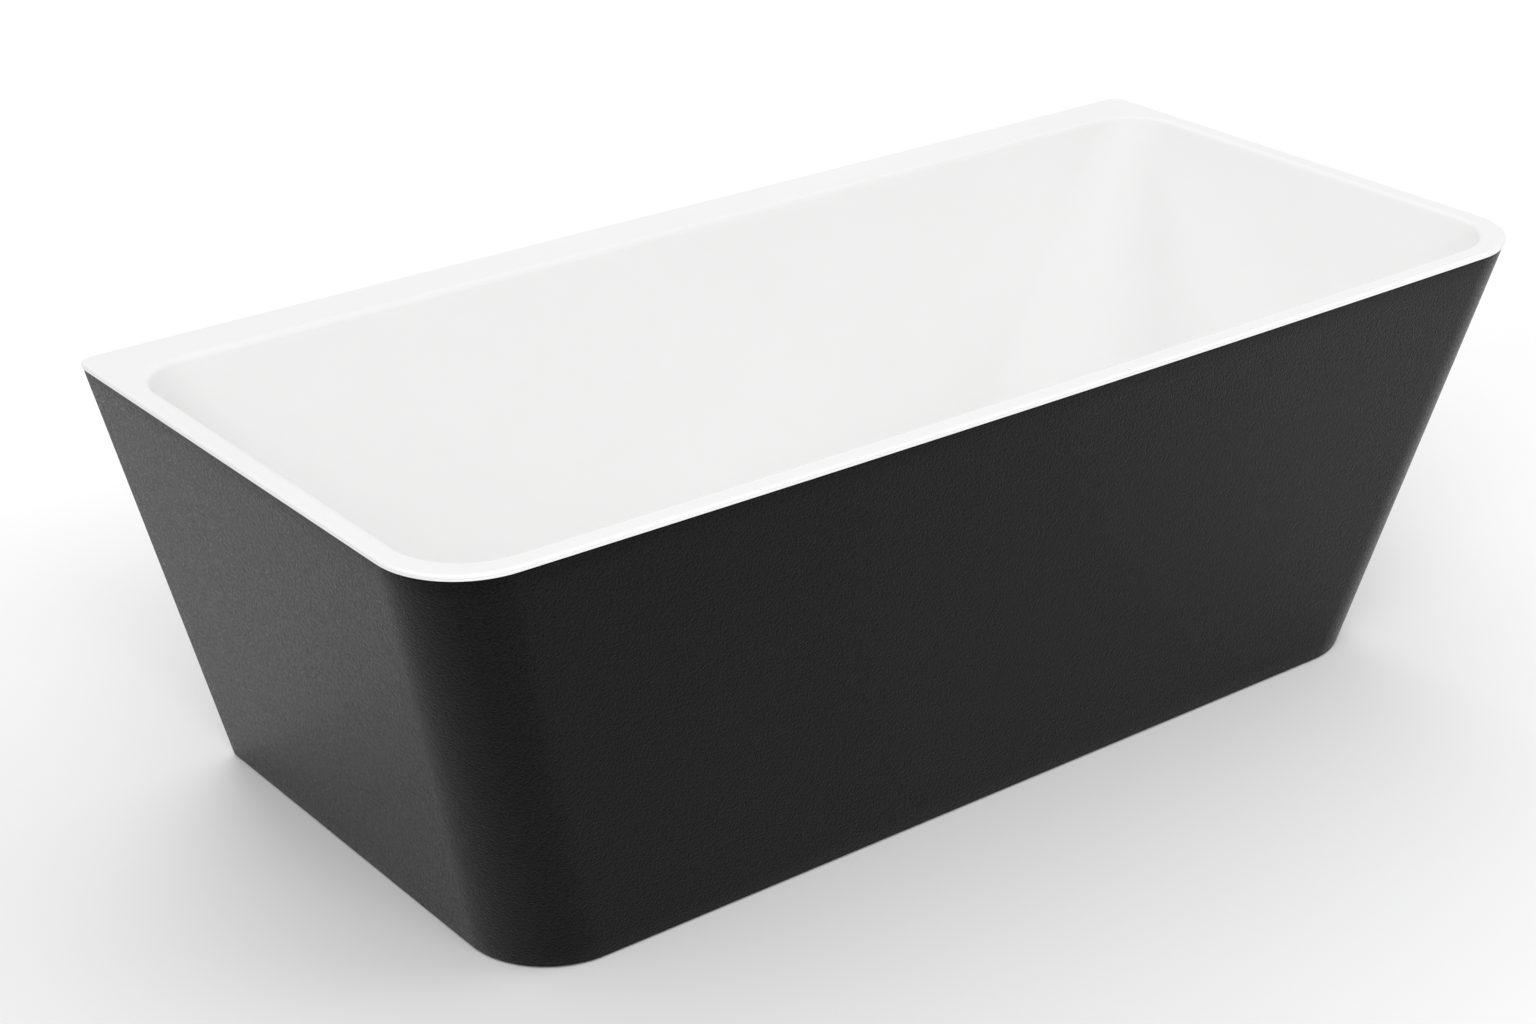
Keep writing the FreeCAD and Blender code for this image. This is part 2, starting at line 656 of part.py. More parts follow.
def on_overflow(shape):
    """Turns Z to point out of the left end wall and X to point down it, and moves the shape there."""
    turn = FreeCAD.Rotation(OVERFLOW_DOWN, Vector(0, 0, 0), OVERFLOW_INTO_BASIN, "ZXY")
    place = FreeCAD.Placement(Vector(OVERFLOW_X, DRAIN_Y, OVERFLOW_Z), turn)
    placed = shape.copy()
    placed.Placement = place.multiply(shape.Placement)
    return placed


def overflow_flange():
    """The inner ring, whose neck passes through the wall and whose bar takes the cover's screw."""
    bore = OVERFLOW_NECK_BORE
    neck = turned([
        (bore, 3),
        (OVERFLOW_FLANGE_RADIUS - 1.5, 3),
        (OVERFLOW_FLANGE_RADIUS, 1.5),
        (OVERFLOW_FLANGE_RADIUS, 1),
        (OVERFLOW_NECK_RADIUS, 1),
        (OVERFLOW_NECK_RADIUS, OVERFLOW_NECK_END),
        (bore, OVERFLOW_NECK_END),
    ])
    bar = box((-2, -bore - 1, -8), (2, bore + 1, -2))
    boss = rod(6, -8, 0)
    return on_overflow(joined([neck, bar, boss]).cut(rod(OVERFLOW_SCREW_RADIUS + 0.1, -9, 1)))


def overflow_front_seal():
    return on_overflow(ring(OVERFLOW_FLANGE_RADIUS - 1, OVERFLOW_NECK_RADIUS + 0.5, 0.1, 1))


def overflow_rear_seal():
    return on_overflow(ring(33, OVERFLOW_NECK_RADIUS + 2, -WALL - 3.2, -WALL - 0.7))


def overflow_cover():
    """A dished cap that stands off the flange, so that water enters all round its edge."""
    return on_overflow(turned([
        (0, 14),
        (18, 13.6),
        (30, 12),
        (34, 9.5),
        (OVERFLOW_COVER_RADIUS, 7),
        (OVERFLOW_COVER_RADIUS - 1.5, 7),
        (32, 9),
        (29, 10),
        (6, 11),
        (6, 0.2),
        (3.5, 0.2),
        (3.5, 11),
        (0, 11),
    ]))


def overflow_screw():
    return on_overflow(joined([rod(3.3, 0.3, 8), rod(OVERFLOW_SCREW_RADIUS, -8, 0.3)]))


def overflow_elbow():
    """The cup behind the wall, with a socket at its side for the pipe."""
    front = -WALL - 3.3
    hollow_front = OVERFLOW_NECK_END - 1
    radius = OVERFLOW_CUP_RADIUS
    neck = OVERFLOW_NECK_RADIUS + 0.2
    floor = OVERFLOW_CUP_DEPTH
    outside = turned([
        (0, floor),
        (radius - 4, floor),
        (radius, floor + 5),
        (radius, front - 4),
        (radius + 4, front - 4),
        (radius + 4, front),
        (0, front),
    ])
    hollow = turned([
        (0, floor + 3),
        (radius - 6, floor + 3),
        (radius - 3.5, floor + 6),
        (radius - 3.5, hollow_front),
        (neck, hollow_front + 1),
        (neck, front + 1),
        (0, front + 1),
    ])
    start = Vector(0, 0, OVERFLOW_PIPE_DEPTH)
    along = Vector(1, 0, 0)
    spout = Part.makeCylinder(SOCKET_RADIUS, SOCKET_LENGTH, start, along)
    bore = Part.makeCylinder(PIPE_BORE_RADIUS, SOCKET_LENGTH + 1, start, along)
    socket_start = start + along * (SOCKET_LENGTH - 18)
    socket = Part.makeCylinder(PIPE_RADIUS + PIPE_CLEARANCE, 30, socket_start, along)
    return on_overflow(outside.fuse(spout).removeSplitter().cut(hollow).cut(bore).cut(socket))


def pipe_route():
    """The overflow pipe's centre line: down behind the end wall, then level to the waste body."""
    along = Vector(1, 0, 0)
    wall_point = Vector(OVERFLOW_X, DRAIN_Y, OVERFLOW_Z)
    start = wall_point + OVERFLOW_INTO_BASIN * OVERFLOW_PIPE_DEPTH + OVERFLOW_DOWN * (SOCKET_LENGTH - 17)
    end = Vector(BRANCH_END_X + 19, DRAIN_Y, BRANCH_Z)
    knee = start + OVERFLOW_DOWN * ((start.z - BRANCH_Z) / -OVERFLOW_DOWN.z)
    half_turn = OVERFLOW_DOWN.getAngle(along) / 2
    setback = PIPE_BEND_RADIUS * math.tan(half_turn)
    bend_start = knee - OVERFLOW_DOWN * setback
    bend_end = knee + along * setback
    towards_centre = (along - OVERFLOW_DOWN).normalize()
    bend_middle = knee + towards_centre * (PIPE_BEND_RADIUS / math.cos(half_turn) - PIPE_BEND_RADIUS)
    return Part.Wire([
        Part.LineSegment(start, bend_start).toShape(),
        arc(bend_start, bend_middle, bend_end),
        Part.LineSegment(bend_end, end).toShape(),
    ])


def overflow_pipe():
    route = pipe_route()
    start = route.Vertexes[0].Point
    solids = []
    for radius in (PIPE_RADIUS, PIPE_BORE_RADIUS):
        section = Part.Wire(Part.makeCircle(radius, start, OVERFLOW_DOWN))
        solids.append(route.makePipeShell([section], True, False))
    return solids[0].cut(solids[1])


def compression_nut():
    """A ribbed plastic nut along +X, open at both ends, that closes over a socket's end."""
    outer = COMPRESSION_NUT_RADIUS
    length = COMPRESSION_NUT_LENGTH
    along = Vector(1, 0, 0)
    body = Part.makeCylinder(outer, length, Vector(0, 0, 0), along)
    for step in range(COMPRESSION_NUT_GROOVES):
        groove = Part.makeCylinder(1.5, length - 4, Vector(0, outer + 0.4, 0), along)
        groove.rotate(Vector(0, 0, 0), along, 360 / COMPRESSION_NUT_GROOVES * step)
        body = body.cut(groove)
    over_socket = Part.makeCylinder(SOCKET_RADIUS + PIPE_CLEARANCE, length - 3, Vector(-1, 0, 0), along)
    pipe_bore = Part.makeCylinder(PIPE_RADIUS + PIPE_CLEARANCE, length + 2, Vector(-1, 0, 0), along)
    return body.cut(over_socket).cut(pipe_bore)


def overflow_upper_nut():
    start_x = SOCKET_LENGTH + 4 - COMPRESSION_NUT_LENGTH
    return on_overflow(compression_nut().translated(Vector(start_x, 0, OVERFLOW_PIPE_DEPTH)))


def overflow_lower_nut():
    flipped = compression_nut()
    flipped.rotate(Vector(0, 0, 0), Vector(0, 0, 1), 180)
    return flipped.translated(Vector(BRANCH_END_X + 14, DRAIN_Y, BRANCH_Z))


# ---- All pieces, by the name of the file each is written to ----

def all_pieces():
    pieces = {
        "basin_shell": basin_shell(),
        "basin_laminate": basin_laminate(),
        "outer_skirt": outer_skirt(),
        "skirt_laminate": skirt_laminate(),
        "base_board": base_board(),
        "bracket_screws": bracket_screws(),
        "board_screws": board_screws(),
        "foot_lock_nuts": foot_lock_nuts(),
        "foot_weld_nuts": foot_weld_nuts(),
        "waste_flange": waste_flange(),
        "waste_top_seal": waste_top_seal(),
        "waste_bottom_seal": waste_bottom_seal(),
        "waste_body": waste_body(),
        "plug_cartridge": plug_cartridge(),
        "plug_stem": plug_stem(),
        "plug_seal": plug_seal(),
        "plug_cap": plug_cap(),
        "overflow_flange": overflow_flange(),
        "overflow_front_seal": overflow_front_seal(),
        "overflow_rear_seal": overflow_rear_seal(),
        "overflow_cover": overflow_cover(),
        "overflow_screw": overflow_screw(),
        "overflow_elbow": overflow_elbow(),
        "overflow_pipe": overflow_pipe(),
        "overflow_upper_nut": overflow_upper_nut(),
        "overflow_lower_nut": overflow_lower_nut(),
    }
    pieces.update(rim_battens())
    for row, y in RAIL_Y.items():
        pieces[f"frame_rail_{row}"] = frame_rail(y)
    for side, x in CROSS_X.items():
        pieces[f"frame_cross_{side}"] = frame_cross(x)
        for row in ("front", "back"):
            pieces[f"skirt_bracket_{row}_{side}"] = skirt_bracket(x, row)
    for place, (x, y) in foot_places().items():
        pieces[f"foot_pad_{place}"] = foot_pad(x, y)
        pieces[f"foot_stud_{place}"] = foot_stud(x, y)
    return pieces


def main():
    os.makedirs("parts", exist_ok=True)
    for name, shape in all_pieces().items():
        if isinstance(shape, list):
            shape = Part.makeCompound(shape)
        if not shape.isValid():
            print("not valid:", name)
        print(name, len(shape.Solids), "solid(s)", round(shape.Volume / 1000, 1), "cm3")
        shape.exportStep(f"parts/{name}.step")


main()
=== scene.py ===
import json
import math
from collections import namedtuple

import bmesh
import bpy
from mathutils import Matrix, Vector


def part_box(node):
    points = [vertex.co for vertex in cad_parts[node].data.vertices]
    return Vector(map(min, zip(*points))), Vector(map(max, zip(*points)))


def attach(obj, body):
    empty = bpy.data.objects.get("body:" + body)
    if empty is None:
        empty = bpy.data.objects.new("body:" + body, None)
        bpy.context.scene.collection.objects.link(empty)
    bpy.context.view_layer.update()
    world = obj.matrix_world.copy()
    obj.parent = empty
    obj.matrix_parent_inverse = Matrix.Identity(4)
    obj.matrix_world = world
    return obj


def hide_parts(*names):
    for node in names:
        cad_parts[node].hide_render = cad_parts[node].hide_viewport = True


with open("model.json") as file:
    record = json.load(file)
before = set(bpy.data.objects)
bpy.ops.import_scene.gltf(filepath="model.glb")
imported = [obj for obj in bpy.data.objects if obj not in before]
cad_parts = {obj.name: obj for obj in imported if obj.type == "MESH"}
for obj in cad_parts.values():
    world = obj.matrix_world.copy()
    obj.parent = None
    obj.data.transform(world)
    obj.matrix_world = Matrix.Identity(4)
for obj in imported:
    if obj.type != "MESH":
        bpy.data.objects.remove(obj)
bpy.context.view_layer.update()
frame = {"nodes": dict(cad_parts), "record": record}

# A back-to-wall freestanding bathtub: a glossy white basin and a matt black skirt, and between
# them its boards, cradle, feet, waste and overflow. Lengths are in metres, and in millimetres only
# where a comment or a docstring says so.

MM = 0.001
QUARTER_TURN = math.pi / 2
FULL_TURN = 2 * math.pi


def centre_of(node):
    low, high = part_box(node)
    return (low + high) / 2


# ---- Dimensions ----

# Outer form, from the frame's own boxes and the tub's driving dimensions
SHELL_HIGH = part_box("basin_shell")[1]
HEIGHT = SHELL_HIGH.z
BACK_Y = SHELL_HIGH.y
RIM_HALF_LENGTH = 850 * MM
BASE_HALF_LENGTH = 700 * MM
RIM_FRONT_Y = -BACK_Y
BASE_FRONT_Y = RIM_FRONT_Y + 106 * MM
RIM_FRONT_RADIUS = 106 * MM
BASE_FRONT_RADIUS = 112 * MM
BACK_RADIUS = 20 * MM
RIM_BOW = 6 * MM
LEAST_BOW = 0.01 * MM  # a straight side is bowed by this, so that its radius is finite

# Basin
ACRYLIC = 4 * MM
FLOOR_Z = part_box("waste_top_seal")[0].z
OPENING_HALF_LENGTH = RIM_HALF_LENGTH - 29 * MM
FLOOR_HALF_LENGTH = 600 * MM
OPENING_FRONT_Y = RIM_FRONT_Y + 29 * MM
FLOOR_FRONT_Y = -235 * MM
OPENING_BACK_Y = BACK_Y - 76 * MM
FLOOR_BACK_Y = 270 * MM
OPENING_FRONT_RADIUS = 88 * MM
OPENING_BACK_RADIUS = 74 * MM
FLOOR_CORNER_RADIUS = 190 * MM
FLOOR_BLEND = 60 * MM
RIM_INNER_ROUND = 9 * MM
RIM_OUTER_ROUND = 3 * MM
LIP_HEIGHT = 8 * MM
LIP_EDGE_ROUND = 0.8 * MM
GROOVE_HALF_HEIGHT = 0.7 * MM
GROOVE_DEPTH = 0.7 * MM
DRAIN = centre_of("waste_top_seal")
DRAIN_HOLE_RADIUS = 26 * MM
NEAR_HOLE = 1.25  # the floor's last ring before the drain hole, as a multiple of the hole

# Skirt
SKIRT_BASE_Z, SKIRT_TOP_Z = (corner.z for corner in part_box("outer_skirt"))
SKIRT_INSET = 1 * MM
SKIRT_WALL = 4 * MM
SKIRT_EDGE_ROUND = 1.2 * MM

# Overflow: its axis is square to the basin's left wall
LEAN = math.atan2(OPENING_HALF_LENGTH - FLOOR_HALF_LENGTH, HEIGHT - FLOOR_Z)
OVERFLOW_AXIS = Vector((math.cos(LEAN), 0, math.sin(LEAN)))
OVERFLOW_SEAT = centre_of("overflow_front_seal")
OVERFLOW_HOLE_RADIUS = 24 * MM
CUTTER_LENGTH = 60 * MM
COVER_SETBACK = 0.55 * MM  # from the seal's middle to the cover's zero height

# Turned parts
TURNED_EASE = 3 * MM
MOST_OF_AN_EDGE = 0.4  # a rounded corner takes up at most this share of each edge beside it
STRAIGHT = math.radians(89)  # a corner with a half angle above this is left as it is

# Adjusting stud, in millimetres, with an M12 thread
SPIGOT_RADIUS = 5
SPIGOT_EASE = 0.4
HEAD_LOW, HEAD_HIGH = 12.3, 19
HEAD_FLATS = 17
HEAD_CHAMFER = 0.6
THREAD_RADIUS = 6
THREAD_DEPTH = 0.9
THREAD_PITCH = 1.75
GROOVE_HALF_WIDTH = 0.42  # of a thread's groove, in pitches

# A helper ring that only gives a direction lies this far off
POINTER = 100 * MM

# How finely the shapes are cut
CORNER_STEPS = 20
LONG_SIDE_STEPS = 40
SHORT_SIDE_STEPS = 18
LIP_EDGE_STEPS = 3
RIM_OUTER_STEPS = 8
RIM_STEPS = 8
RIM_INNER_STEPS = 12
WALL_STEPS = 22
BLEND_STEPS = 14
FLOOR_STEPS = 12
SKIRT_EDGE_STEPS = 4
SKIRT_OUTER_STEPS = 24
SKIRT_INNER_STEPS = 12
CUTTER_STEPS = 64
TURN_STEPS = 96
EASE_STEPS = 4
STUD_STEPS = 36
THREAD_ROWS_A_TURN = 8
SWEEP_BEND_STEPS = 12

# Edges sharper than these are shaded sharp
BASIN_SHARP = math.radians(40)
STUD_SHARP = math.radians(50)


# ---- Material building blocks ----

Bump = namedtuple("Bump", "height strength distance")


def new_material(name):
    material = bpy.data.materials.new(name)
    material.use_nodes = True
    tree = material.node_tree
    return material, tree, tree.nodes["Principled BSDF"]


def coordinates(tree, stretch):
    """The object's own coordinates, in metres, times a stretch along each axis."""
    place = tree.nodes.new("ShaderNodeTexCoord")
    mapping = tree.nodes.new("ShaderNodeMapping")
    mapping.inputs["Scale"].default_value = stretch
    tree.links.new(place.outputs["Object"], mapping.inputs["Vector"])
    return mapping.outputs["Vector"]


def noise(tree, scale, detail=4, roughness=0.55, stretch=(1, 1, 1)):
    """Noise at a scale of waves per metre."""
    texture = tree.nodes.new("ShaderNodeTexNoise")
    texture.inputs["Scale"].default_value = scale
    texture.inputs["Detail"].default_value = detail
    texture.inputs["Roughness"].default_value = roughness
    tree.links.new(coordinates(tree, stretch), texture.inputs["Vector"])
    return texture.outputs["Fac"]


def cells(tree, scale, stretch=(1, 1, 1)):
    """A random number for each cell, at a scale of cells per metre."""
    texture = tree.nodes.new("ShaderNodeTexVoronoi")
    texture.inputs["Scale"].default_value = scale
    tree.links.new(coordinates(tree, stretch), texture.inputs["Vector"])
    grey = tree.nodes.new("ShaderNodeRGBToBW")
    tree.links.new(texture.outputs["Color"], grey.inputs["Color"])
    return grey.outputs["Val"]


def ramp(tree, source, low, high, start=0.3, end=0.7):
    """A colour that goes from low to high as the source goes from start to end."""
    node = tree.nodes.new("ShaderNodeValToRGB")
    first, last = node.color_ramp.elements
    first.position, first.color = start, (*low, 1)
    last.position, last.color = end, (*high, 1)
    tree.links.new(source, node.inputs["Fac"])
    return node.outputs["Color"]


def spread(tree, source, low, high, start=0.3, end=0.7):
    """A number that goes from low to high as the source goes from start to end."""
    node = tree.nodes.new("ShaderNodeMapRange")
    node.inputs["From Min"].default_value = start
    node.inputs["From Max"].default_value = end
    node.inputs["To Min"].default_value = low
    node.inputs["To Max"].default_value = high
    tree.links.new(source, node.inputs["Value"])
    return node.outputs["Result"]


def multiplied(tree, colour, shade, factor):
    node = tree.nodes.new("ShaderNodeMix")
    node.data_type = "RGBA"
    node.blend_type = "MULTIPLY"
    node.inputs["Factor"].default_value = factor
    tree.links.new(colour, node.inputs["A"])
    tree.links.new(shade, node.inputs["B"])
    return node.outputs["Result"]


def connect(tree, shader, colour, roughness, *bumps):
    """Links a colour, a roughness and a chain of bumps to the shader."""
    tree.links.new(colour, shader.inputs["Base Color"])
    tree.links.new(roughness, shader.inputs["Roughness"])
    previous = None
    for layer in bumps:
        bump = tree.nodes.new("ShaderNodeBump")
        bump.inputs["Strength"].default_value = layer.strength
        bump.inputs["Distance"].default_value = layer.distance
        tree.links.new(layer.height, bump.inputs["Height"])
        if previous is not None:
            tree.links.new(previous, bump.inputs["Normal"])
        previous = bump.outputs["Normal"]
    tree.links.new(previous, shader.inputs["Normal"])


def set_inputs(shader, **values):
    for name, value in values.items():
        shader.inputs[name.replace("_", " ")].default_value = value


# ---- Materials ----

def white_acrylic(name):
    """Glossy white, with a faint waviness from being vacuum formed."""
    material, tree, shader = new_material(name)
    cloud = noise(tree, scale=3, detail=3)
    polish = noise(tree, scale=14, detail=2)
    set_inputs(shader, IOR=1.49)
    connect(
        tree, shader,
        ramp(tree, cloud, low=(0.868, 0.868, 0.865), high=(0.880, 0.880, 0.878)),
        spread(tree, polish, low=0.20, high=0.25),
        Bump(noise(tree, scale=40, detail=1), strength=0.02, distance=0.4 * MM),
        Bump(noise(tree, scale=6, detail=1), strength=0.03, distance=3 * MM),
    )
    return material


def black_skirt(name):
    """Matt black with a fine grain."""
    material, tree, shader = new_material(name)
    grain = noise(tree, scale=330, detail=2, roughness=0.6)
    set_inputs(shader, IOR=1.34, Specular_Tint=(0.15, 0.15, 0.15, 1))
    connect(
        tree, shader,
        ramp(tree, grain, low=(0.0002, 0.0002, 0.0003), high=(0.0065, 0.0065, 0.0066)),
        spread(tree, grain, low=0.24, high=0.46, start=0.35, end=0.65),
        Bump(grain, strength=1.0, distance=0.8 * MM),
        Bump(noise(tree, scale=90, detail=2), strength=0.05, distance=1 * MM),
    )
    return material


def fibreglass(name):
    """Sprayed strands under a greenish resin, in blotches."""
    material, tree, shader = new_material(name)
    strands = noise(tree, scale=55, detail=6, roughness=0.7, stretch=(1, 1, 3))
    fuzz = noise(tree, scale=300, detail=3, roughness=0.6, stretch=(4, 1, 1))
    blotches = noise(tree, scale=9, detail=3)
    resin = ramp(
        tree, strands, low=(0.55, 0.53, 0.38), high=(0.80, 0.79, 0.64), start=0.35, end=0.65
    )
    shade = ramp(tree, blotches, low=(0.75, 0.73, 0.62), high=(1, 1, 0.96))
    connect(
        tree, shader,
        multiplied(tree, resin, shade, factor=0.6),
        spread(tree, strands, low=0.35, high=0.65),
        Bump(strands, strength=0.6, distance=1.5 * MM),
        Bump(fuzz, strength=0.4, distance=0.6 * MM),
    )
    return material


def particle_board(name):
    """Pressed chips, each of its own shade."""
    material, tree, shader = new_material(name)
    chips = cells(tree, scale=260, stretch=(1, 1.8, 1))
    connect(
        tree, shader,
        ramp(tree, chips, low=(0.36, 0.24, 0.13), high=(0.62, 0.47, 0.29), start=0.2, end=0.8),
        spread(tree, noise(tree, scale=90), low=0.6, high=0.8),
        Bump(chips, strength=0.25, distance=0.4 * MM),
    )
    return material


def softwood(name):
    """Sawn battens, with the grain along x."""
    material, tree, shader = new_material(name)
    grain = noise(tree, scale=70, detail=5, roughness=0.6, stretch=(0.05, 1, 1))
    fibres = noise(tree, scale=500, detail=2, roughness=0.5, stretch=(0.1, 1, 1))
    connect(
        tree, shader,
        ramp(tree, grain, low=(0.46, 0.30, 0.14), high=(0.72, 0.54, 0.32), start=0.38, end=0.62),
        spread(tree, grain, low=0.55, high=0.75),
        Bump(grain, strength=0.4, distance=0.5 * MM),
        Bump(fibres, strength=0.2, distance=0.3 * MM),
    )
    return material


def metal(name, dark, light, scale, roughness, bump=0.05, spangle=False):
    """A metal that varies in cloudy patches, or in crystals for a galvanised one."""
    material, tree, shader = new_material(name)
    patches = cells(tree, scale) if spangle else noise(tree, scale)
    brushing = noise(tree, scale=scale * 6, detail=3)
    set_inputs(shader, Metallic=1.0)
    connect(
        tree, shader,
        ramp(tree, patches, dark, light),
        spread(tree, patches, *roughness),
        Bump(brushing, strength=bump, distance=0.3 * MM),
    )
    return material


def moulded(name, dark, light, scale, roughness):
    """A moulded plastic or rubber with a faintly mottled colour and a fine skin."""
    material, tree, shader = new_material(name)
    patches = noise(tree, scale)
    surface = noise(tree, scale=scale * 12, detail=3)
    connect(
        tree, shader,
        ramp(tree, patches, dark, light),
        spread(tree, patches, *roughness),
        Bump(surface, strength=0.15, distance=0.2 * MM),
    )
    return material


# Each of the record's material slots, how it is made and with what
MATERIALS = {
    "white_acrylic": (white_acrylic, {}),
    "black_skirt": (black_skirt, {}),
    "fibreglass": (fibreglass, {}),
    "particle_board": (particle_board, {}),
    "softwood": (softwood, {}),
    "galvanised_steel": (metal, {
        "dark": (0.50, 0.52, 0.54), "light": (0.60, 0.62, 0.64),
        "scale": 190, "roughness": (0.36, 0.48), "bump": 0.06, "spangle": True,
    }),
    "zinc_plated_steel": (metal, {
        "dark": (0.55, 0.56, 0.57), "light": (0.72, 0.73, 0.75),
        "scale": 300, "roughness": (0.22, 0.38),
    }),
    "foot_plastic": (moulded, {
        "dark": (0.020, 0.020, 0.022), "light": (0.034, 0.034, 0.036),
        "scale": 60, "roughness": (0.45, 0.62),
    }),
    "chrome": (metal, {
        "dark": (0.50, 0.51, 0.52), "light": (0.57, 0.58, 0.59),
        "scale": 25, "roughness": (0.04, 0.10), "bump": 0.004,
    }),
    "rubber": (moulded, {
        "dark": (0.016, 0.016, 0.016), "light": (0.028, 0.028, 0.028),
        "scale": 200, "roughness": (0.6, 0.8),
    }),
    "brass": (metal, {
        "dark": (0.55, 0.38, 0.15), "light": (0.72, 0.53, 0.25),
        "scale": 200, "roughness": (0.18, 0.32),
    }),
    "white_pipe_plastic": (moulded, {
        "dark": (0.74, 0.75, 0.75), "light": (0.82, 0.83, 0.83),
        "scale": 40, "roughness": (0.32, 0.45),
    }),
}


# ---- Mesh building blocks ----

def mix(low, high, share):
    return low + (high - low) * share


def polar(radius, turn, z, x=0, y=0):
    """The point at a radius and a turn round the upright axis through (x, y)."""
    return Vector((x + radius * math.cos(turn), y + radius * math.sin(turn), z))


def turns(steps):
    return [FULL_TURN * step / steps for step in range(steps)]


def face_outwards(mesh):
    shape = bmesh.new()
    shape.from_mesh(mesh)
    bmesh.ops.recalc_face_normals(shape, faces=shape.faces)
    shape.to_mesh(mesh)
    shape.free()


def add_piece(name, vertices, faces, body, node, slot):
    """A visible piece that rides on a body, in place of a CAD node, with that slot's material."""
    mesh = bpy.data.meshes.new(name)
    mesh.from_pydata([tuple(v) for v in vertices], [], faces)
    mesh.validate()
    face_outwards(mesh)
    mesh.shade_smooth()
    piece = bpy.data.objects.new(name, mesh)
    bpy.context.scene.collection.objects.link(piece)
    mesh.materials.append(materials[slot])
    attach(piece, body)
    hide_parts(node)
    return piece


def skin(rings):
    """A closed skin's vertices and faces, through rings of which the last joins the first."""
    count = len(rings[0])
    vertices = [point for ring in rings for point in ring]
    faces = []
    for row in range(len(rings)):
        following = (row + 1) % len(rings)
        for column in range(count):
            beside = (column + 1) % count
            faces.append((
                row * count + column,
                row * count + beside,
                following * count + beside,
                following * count + column,
            ))
    return vertices, faces


def capped_skin(rows):
    """Vertices and faces through rows of points, where a row of one point is a pole."""
    vertices = [point for row in rows for point in row]
    faces = []
    first = 0
    for row, following in zip(rows, rows[1:]):
        second = first + len(row)
        count = max(len(row), len(following))
        for column in range(count):
            beside = (column + 1) % count
            corners = [
                first + column % len(row),
                first + beside % len(row),
                second + beside % len(following),
                second + column % len(following),
            ]
            face = list(dict.fromkeys(corners))
            if len(face) > 2:
                faces.append(face)
        first = second
    return vertices, faces


def rounded(point, towards_a, towards_b, radius, steps):
    """Points of an arc that rounds the corner at a point between two directions leaving it."""
    a = towards_a.normalized()
    b = towards_b.normalized()
    half = a.angle(b) / 2
    centre = point + (a + b).normalized() * (radius / math.sin(half))
    start = point + a * (radius / math.tan(half)) - centre
    end = point + b * (radius / math.tan(half)) - centre
    turn = start.angle(end)
    points = []
    for step in range(steps + 1):
        share = step / steps
        points.append(
            centre
            + start * (math.sin((1 - share) * turn) / math.sin(turn))
            + end * (math.sin(share * turn) / math.sin(turn))
        )
    return points


def rounded_rings(corner_ring, ring_a, ring_b, radius, steps):
    """Rings that round the edge along corner_ring, between the walls to ring_a and to ring_b."""
    columns = [
        rounded(point, a - point, b - point, radius, steps)
        for point, a, b in zip(corner_ring, ring_a, ring_b)
    ]
    return [list(row) for row in zip(*columns)]


def between(start, end, steps):
    """Points between two points, without either of them."""
    return [start.lerp(end, step / steps) for step in range(1, steps)]


def steps_between(ring_a, ring_b, steps):
    """Rings between two rings, without either of them."""
    columns = [between(a, b, steps) for a, b in zip(ring_a, ring_b)]
    return [list(row) for row in zip(*columns)]


def moved_in(ring, distance):
    """The ring moved level towards its inside."""
    moved = []
    for index, point in enumerate(ring):
        along = ring[(index + 1) % len(ring)] - ring[index - 1]
        inwards = Vector((-along.y, along.x, 0)).normalized()
        moved.append(point + inwards * distance)
    return moved


# ---- The tub's outlines ----

def corner_points(centre_x, centre_y, radius, start, end, z):
    return [
        polar(radius, mix(start, end, step / CORNER_STEPS), z, centre_x, centre_y)
        for step in range(CORNER_STEPS + 1)
    ]


def outline(half_length, front_y, back_y, front_radius, back_radius, z, bow):
    """A ring round a rounded rectangle whose front is bowed out, and tangent to its corners."""
    bow = max(bow, LEAST_BOW)
    reach = half_length - front_radius
    bow_radius = (reach**2 + bow**2) / (2 * bow)
    bow_centre_y = front_y + bow_radius
    corner_y = bow_centre_y - math.sqrt((bow_radius - front_radius) ** 2 - reach**2)
    tilt = math.asin(reach / (bow_radius - front_radius))
    back_x = half_length - back_radius
    corner_back_y = back_y - back_radius
    front_right = corner_points(reach, corner_y, front_radius, tilt - QUARTER_TURN, 0, z)
    back_right = corner_points(back_x, corner_back_y, back_radius, 0, QUARTER_TURN, z)
    back_left = corner_points(-back_x, corner_back_y, back_radius, QUARTER_TURN, math.pi, z)
    front_left = corner_points(
        -reach, corner_y, front_radius, math.pi, 3 * QUARTER_TURN - tilt, z
    )
    front = []
    for step in range(1, LONG_SIDE_STEPS):
        turn = mix(-tilt, tilt, step / LONG_SIDE_STEPS)
        y = bow_centre_y - bow_radius * math.cos(turn)
        front.append(Vector((bow_radius * math.sin(turn), y, z)))
    return [
        *front,
        *front_right,
        *between(front_right[-1], back_right[0], SHORT_SIDE_STEPS),
        *back_right,
        *between(back_right[-1], back_left[0], LONG_SIDE_STEPS),
        *back_left,
        *between(back_left[-1], front_left[0], SHORT_SIDE_STEPS),
        *front_left,
    ]


def outer_ring(z, inset, back_inset=None):
    """The tub's outline at a height, moved in by an inset, which may be another one at the back."""
    share = z / HEIGHT
    return outline(
        mix(BASE_HALF_LENGTH, RIM_HALF_LENGTH, share) - inset,
        mix(BASE_FRONT_Y, RIM_FRONT_Y, share) + inset,
        BACK_Y - (inset if back_inset is None else back_inset),
        mix(BASE_FRONT_RADIUS, RIM_FRONT_RADIUS, share) - inset,
        BACK_RADIUS - inset,
        z,
        mix(0, RIM_BOW, share),
    )


